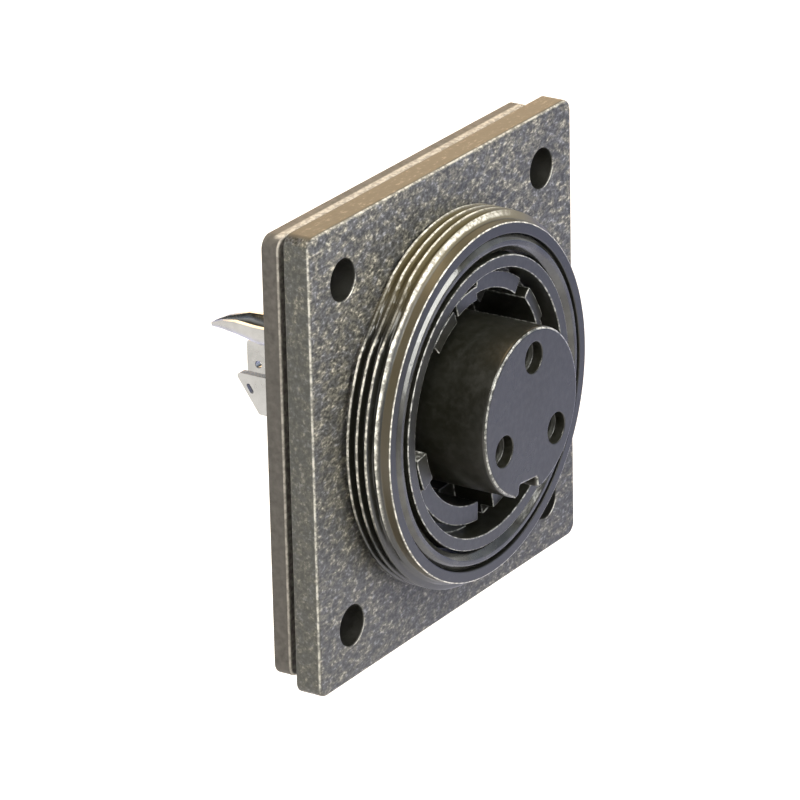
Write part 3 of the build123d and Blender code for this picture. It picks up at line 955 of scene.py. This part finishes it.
def makeKeyedInsert():
    i = insert
    ends = sorted({angle % 360 for span in i["walls"] + i["keyways"] for angle in span[:2]})
    angles = []
    for start, end in zip(ends, ends[1:] + [ends[0] + 360]):
        parts = math.ceil((end - start) / i["step"])
        if end - start > i["leastSpan"]:
            angles += [start + (end - start) * k / parts for k in range(parts)]
    zones, count = len(i["radii"]) - 1, len(angles)
    middles = [(start + end) / 2 for start, end in zip(angles, angles[1:] + [angles[0] + 360])]
    level = [[insertLevel(zone, middle) for middle in middles] for zone in range(zones)]

    bm = bmesh.new()
    made = {}

    def vert(radiusIndex, j, y):
        key = (radiusIndex, j % count, y)
        if key not in made:
            x, z = polar(i["radii"][radiusIndex], angles[j % count])
            made[key] = bm.verts.new((x * mm, y * mm, z * mm))
        return made[key]

    def heights(radiusIndex, j, start, end):
        # all heights at one upright line, from start to end
        known = {start, end}
        for zone in (radiusIndex - 1, radiusIndex):
            if 0 <= zone < zones:
                known |= {level[zone][(j - 1) % count], level[zone][j % count]}
        low, high = min(start, end), max(start, end)
        inside = sorted((y for y in known if low <= y <= high), reverse=start > end)
        return [vert(radiusIndex, j, y) for y in inside]

    for zone in range(zones):
        for j in range(count):
            here = level[zone][j]
            bm.faces.new((vert(zone, j, here), vert(zone + 1, j, here),
                          vert(zone + 1, j + 1, here), vert(zone, j + 1, here)))
            last = level[zone][j - 1]
            if last != here:
                end = bm.faces.new(heights(zone, j, last, here) + heights(zone + 1, j, here, last))
                # painted patch of light on the one pale wall end
                end.material_index = int(angles[j] == i["paleEnd"] and here < i["grooveY"])
            if zone > 0 and level[zone - 1][j] != here:
                inner = level[zone - 1][j]
                bm.faces.new(heights(zone, j, inner, here) + heights(zone, j + 1, here, inner))

    grooveFront, grooveRear = i["sealGroove"]
    outside = [
        (i["radii"][-1], grooveFront),
        (i["sealGrooveRadius"], grooveFront),
        (i["sealGrooveRadius"], grooveRear),
        (i["radii"][-1], grooveRear),
        (i["radii"][-1], planes["stop"]),
        (i["stopRadius"], planes["stop"]),
        (i["stopRadius"], planes["stopRear"]),
        (i["radii"][0], planes["stopRear"]),
    ]
    loops = [[vert(zones, j, planes["rim"]) for j in range(count)]]
    loops += [addLoop(bm, [polar(radius, angle) for angle in angles], y) for radius, y in outside]
    loops.append([vert(0, j, i["wellY"]) for j in range(count)])
    for first, second in zip(loops, loops[1:]):
        joinLoops(bm, first, second)
    piece = finishMesh("keyedInsert", bm, materials["smooth"], 30, materials["smoothEdge"])
    # the bevelled edges take the pale finish: wear, and a painted highlight
    addBevel(piece, i["edge"], finish=1)
    return piece


standFor(makeKeyedInsert(), "insert_plastic", "keyed_insert")


# Contact block: boss with slot and contact holes, shoulder and tail

block = {
    "turn": -5.5,
    "radius": 7.58,
    "frontRound": 0.3,
    "slotAngle": 270.0,
    "slotWidth": 2.9,
    "slotDepth": 1.3,
    "slotLength": 6.0,
    "slotLip": 0.5,
    "slotCorner": 0.25,
    "slotClear": 5.0,  # degrees of plain wall between the slot's lip and the first arc point
    "arcSteps": 150,
    "paleDepth": (0.1, 0.4),  # the share of the front edge's depth that is pale: wear, and a painted highlight
    "shoulderRadius": 10.6,
    "shoulderRear": 1.3,
    "tailRadius": 8.6,
    "tailRound": 0.15,
    "recessRadius": 7.85,
    "circle": 4.95,
    "holeAngles": (90.0, 210.0, 330.0),
    "holeRadius": 1.36,
    "holeTaper": 0.06,  # the hole opens by this much towards the face
    "holeRound": 0.1,
    "boreRadius": 1.95,
    "boreStart": -12.88,
    "seatRadius": 2.45,
    "seatY": 2.5,
}


def makeContactBlock():
    b = block
    bm = bmesh.new()
    middle = b["slotAngle"] + b["turn"]
    halfSlot = math.degrees(math.asin(b["slotWidth"] / 2 / b["radius"]))
    first = middle + halfSlot + b["slotClear"]
    last = middle + 360 - halfSlot - b["slotClear"]
    steps = b["arcSteps"]
    arc = [(*polar(b["radius"], first + (last - first) * k / steps), 0) for k in range(steps + 1)]
    outward = Vector(polar(1.0, middle))
    sideways = Vector(polar(1.0, middle + 90))
    floor = outward * (b["radius"] - b["slotDepth"])
    lips = [Vector(polar(b["radius"], middle + side * halfSlot)) for side in (-1, 1)]
    floorEnds = [floor + sideways * side * b["slotWidth"] / 2 for side in (-1, 1)]
    slotPoints = [(*lips[0], b["slotLip"]), (*floorEnds[0], b["slotCorner"]),
                  (*floorEnds[1], b["slotCorner"]), (*lips[1], b["slotLip"])]
    slotted = softCorners(arc + slotPoints, steps=4, support=0.04)
    slotCount = len(slotted) - len(arc)
    wide = first + 360 - last
    full = [point[:2] for point in arc]
    full += [polar(b["radius"], last + wide * (k + 1) / (slotCount + 1)) for k in range(slotCount)]

    face, slotEnd = planes["face"], planes["face"] + b["slotLength"]
    frontRows = noseRows(face, b["frontRound"], steps=5, support=0.06)
    walls = addWall(bm, slotted, frontRows + [(0.0, slotEnd)])
    shallow, deep = b["paleDepth"]
    for side in bm.faces:
        if shallow < (side.calc_center_median().y / mm - face) / b["frontRound"] < deep:
            side.material_index = 1
    wholeLoops = [walls[-1]]
    wholeRows = [
        (b["radius"], slotEnd),
        (b["radius"], planes["stopRear"]),
        (b["shoulderRadius"], planes["stopRear"]),
        (b["shoulderRadius"], b["shoulderRear"]),
        (b["tailRadius"], b["shoulderRear"]),
        (b["tailRadius"], planes["blockRear"] - b["tailRound"]),
        (b["tailRadius"] - b["tailRound"], planes["blockRear"]),
        (b["recessRadius"], planes["blockRear"]),
        (b["recessRadius"], planes["plate"]),
    ]
    for radius, y in wholeRows:
        scale = radius / b["radius"]
        wholeLoops.append(addLoop(bm, [(x * scale, z * scale) for x, z in full], y))
    for one, two in zip(wholeLoops, wholeLoops[1:]):
        joinLoops(bm, one, two)

    fronts, rears = [walls[0]], [wholeLoops[-1]]
    mouthRadius = b["holeRadius"] + b["holeTaper"]
    support = 0.05
    for angle in b["holeAngles"]:
        hole = circleOutline(mouthRadius, holeSteps, polar(b["circle"], angle + b["turn"]))
        rows = noseRows(face, b["holeRound"], support=support) + [
            (0.0, b["boreStart"] - support),
            (-b["holeTaper"], b["boreStart"]),
            (b["boreRadius"] - mouthRadius, b["boreStart"]),
            (b["boreRadius"] - mouthRadius, b["seatY"]),
            (b["seatRadius"] - mouthRadius, b["seatY"]),
            (b["seatRadius"] - mouthRadius, planes["plate"]),
        ]
        bore = addWall(bm, hole, rows, side=-1)
        fronts.append(bore[0])
        rears.append(bore[-1])
    addCap(bm, fronts)
    addCap(bm, rears)
    bmesh.ops.remove_doubles(bm, verts=bm.verts, dist=weldReach * mm)
    return finishMesh("contactBlock", bm, materials["smooth"], edgeMaterial=materials["smoothEdge"])


standFor(makeContactBlock(), "insert_plastic", "contact_block")


# Pieces that keep the CAD form, with their edges broken

dressing = {"weldReach": 0.0005, "flatAngle": 0.6, "sharpAngle": 35, "bevelAngle": 38}


def dressCopy(name, node, material, edge):
    # a welded copy of a CAD node, with rounded edges
    bm = bmesh.new()
    bm.from_mesh(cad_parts[node].data)
    bmesh.ops.remove_doubles(bm, verts=bm.verts, dist=dressing["weldReach"] * mm)
    flat = math.radians(dressing["flatAngle"])
    bmesh.ops.dissolve_limit(bm, angle_limit=flat, verts=bm.verts, edges=bm.edges)
    mesh = bpy.data.meshes.new(name)
    bm.to_mesh(mesh)
    bm.free()
    piece = finishObject(name, mesh, material, dressing["sharpAngle"])
    addBevel(piece, edge, dressing["bevelAngle"])
    return piece


# piece, node, finish, slot and width of the rounded edges
dressed = (
    ("insertRetainer", "insert_retainer", "rear", "retainer_plastic", 0.1),
    ("contactPlate", "contact_plate", "rear", "plate_plastic", 0.06),
    ("earthTag", "earth_tag", "tin", "tinned_metal", 0.05),
    ("earthContact", "earth_contact", "socketTin", "tinned_metal", 0.04),
    ("lineContact", "line_contact", "socketTin", "tinned_metal", 0.06),
    ("neutralContact", "neutral_contact", "socketTin", "tinned_metal", 0.06),
)
for name, node, finish, slot, edge in dressed:
    standFor(dressCopy(name, node, materials[finish], edge), slot, node)

springs = ("earth_contact_spring", "line_contact_spring", "neutral_contact_spring")
for node in ("insert_seal", "block_seal", *springs):
    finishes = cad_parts[node].data.materials
    finishes.clear()
    finishes.append(materials["steel" if node in springs else "seal"])
print("carried-over nodes dressed")


# Floor, world, lights and camera

studio = {
    "floorZ": -60.0,
    "floorSize": 3000.0,
    "worldFill": 0.23,
    "overhead": (0.1, 0.09, 0.06),  # how the room above looks in reflections
    "horizon": 0.02,
    "zenith": 0.7,
    "floorGlow": 0.7,
    "floorTint": (0.03, 0.2, 0.88),  # the floor's cool look in reflections
    "tintStart": -20.0,
    "tintSoft": 80.0,
    "white": (1.0, 1.0, 1.0),
}


def seenNode(tree):
    # the camera's rays, and with them the glossy and transmission rays, which see the white ground
    path = tree.nodes.new("ShaderNodeLightPath").outputs
    seen = mathNode(tree, "MAXIMUM", path["Is Camera Ray"], path["Is Glossy Ray"])
    return path["Is Camera Ray"], mathNode(tree, "MAXIMUM", seen, path["Is Transmission Ray"])


def makeFloor():
    half = studio["floorSize"] / 2 * mm
    z = studio["floorZ"] * mm
    mesh = bpy.data.meshes.new("floor")
    corners = ((-half, -half, z), (half, -half, z), (half, half, z), (-half, half, z))
    mesh.from_pydata(corners, [], [(0, 1, 2, 3)])
    material, tree, shader, vector = startMaterial("floorWhite")
    shader.inputs["Roughness"].default_value = 1.0
    shader.inputs["Specular IOR Level"].default_value = 0.0
    camera, seen = seenNode(tree)
    onRight = stepNode(tree, splitNode(tree, vector)[0], studio["tintStart"], studio["tintSoft"])
    tint = mixColors(tree, onRight, studio["white"], studio["floorTint"])
    tree.links.new(mixColors(tree, camera, tint, studio["white"]), shader.inputs["Emission Color"])
    tree.links.new(times(tree, seen, studio["floorGlow"]), shader.inputs["Emission Strength"])
    mesh.materials.append(material)
    floor = bpy.data.objects.new("floor", mesh)
    bpy.context.scene.collection.objects.link(floor)


def makeWorld():
    world = bpy.data.worlds.new("studio")
    bpy.context.scene.world = world
    world.use_nodes = True
    tree = world.node_tree
    sky = tree.nodes["Background"].inputs
    camera, seen = seenNode(tree)
    # reflections see white near the horizon and a dimmer room overhead
    z = splitNode(tree, tree.nodes.new("ShaderNodeTexCoord").outputs["Generated"])[2]
    height = rangeNode(tree, z, studio["horizon"], studio["zenith"])
    overhead = times(tree, height, mathNode(tree, "SUBTRACT", 1.0, camera), seen)
    tree.links.new(mixColors(tree, overhead, studio["white"], studio["overhead"]), sky["Color"])
    tree.links.new(blendNode(tree, seen, studio["worldFill"], 1.0), sky["Strength"])


lamps = (
    # name, place, size, watts, colour
    ("keyLamp", (-112, -76, 152), 70, 0.37, (1.0, 0.97, 0.9)),
    ("glintLampA", (-70, -182, 44), 43, 0.055, (1.0, 1.0, 0.96)),
    ("glintLampB", (-45, -178, 77), 43, 0.08, (1.0, 1.0, 0.96)),
    ("glintLampC", (-19, -171, 108), 43, 0.1, (1.0, 1.0, 0.96)),
    ("glintLampD", (20, -160, 122), 43, 0.1, (1.0, 1.0, 0.96)),
    ("glintLampE", (60, -144, 130), 43, 0.1, (1.0, 1.0, 0.96)),
    ("coolLamp", (430, -300, 160), 360, 0.2, (0.45, 0.66, 1.0)),
    ("warmLamp", (450, 300, 230), 300, 1.1, (1.0, 0.66, 0.34)),
    ("topLamp", (60, 160, 620), 300, 1.7, (1.0, 0.74, 0.42)),
)


def makeLamps():
    for name, place, size, watts, color in lamps:
        lamp = bpy.data.lights.new(name, "AREA")
        lamp.shape = "SQUARE"
        lamp.size = size * mm
        lamp.energy = watts
        lamp.color = color
        holder = bpy.data.objects.new(name, lamp)
        holder.location = [c * mm for c in place]
        holder.rotation_euler = (-holder.location).to_track_quat("-Z", "Y").to_euler()
        bpy.context.scene.collection.objects.link(holder)


view = {
    "place": (-367.838, -242.598, 178.024),
    "aim": (-0.360, -0.515, -1.432),
    "roll": -1.288,
    "lens": 243.867,
    "sensor": 36.0,
}


def makeCamera():
    camera = bpy.data.cameras.new("camera")
    camera.lens = view["lens"]
    camera.sensor_width = view["sensor"]
    camera.clip_start = 0.01
    camera.clip_end = 20
    holder = bpy.data.objects.new("camera", camera)
    bpy.context.scene.collection.objects.link(holder)
    place = Vector(view["place"]) * mm
    forward = (Vector(view["aim"]) * mm - place).normalized()
    level = forward.cross(Vector((0, 0, 1))).normalized()
    upright = level.cross(forward)
    roll = math.radians(view["roll"])
    right = level * math.cos(roll) + upright * math.sin(roll)
    up = right.cross(forward)
    turn = Matrix((right, up, -forward)).transposed()
    holder.matrix_world = Matrix.Translation(place) @ turn.to_4x4()
    bpy.context.scene.camera = holder


makeFloor()
makeWorld()
makeLamps()
makeCamera()
bpy.context.scene.view_settings.view_transform = "Standard"
print("stage ready")

bpy.context.view_layer.update()
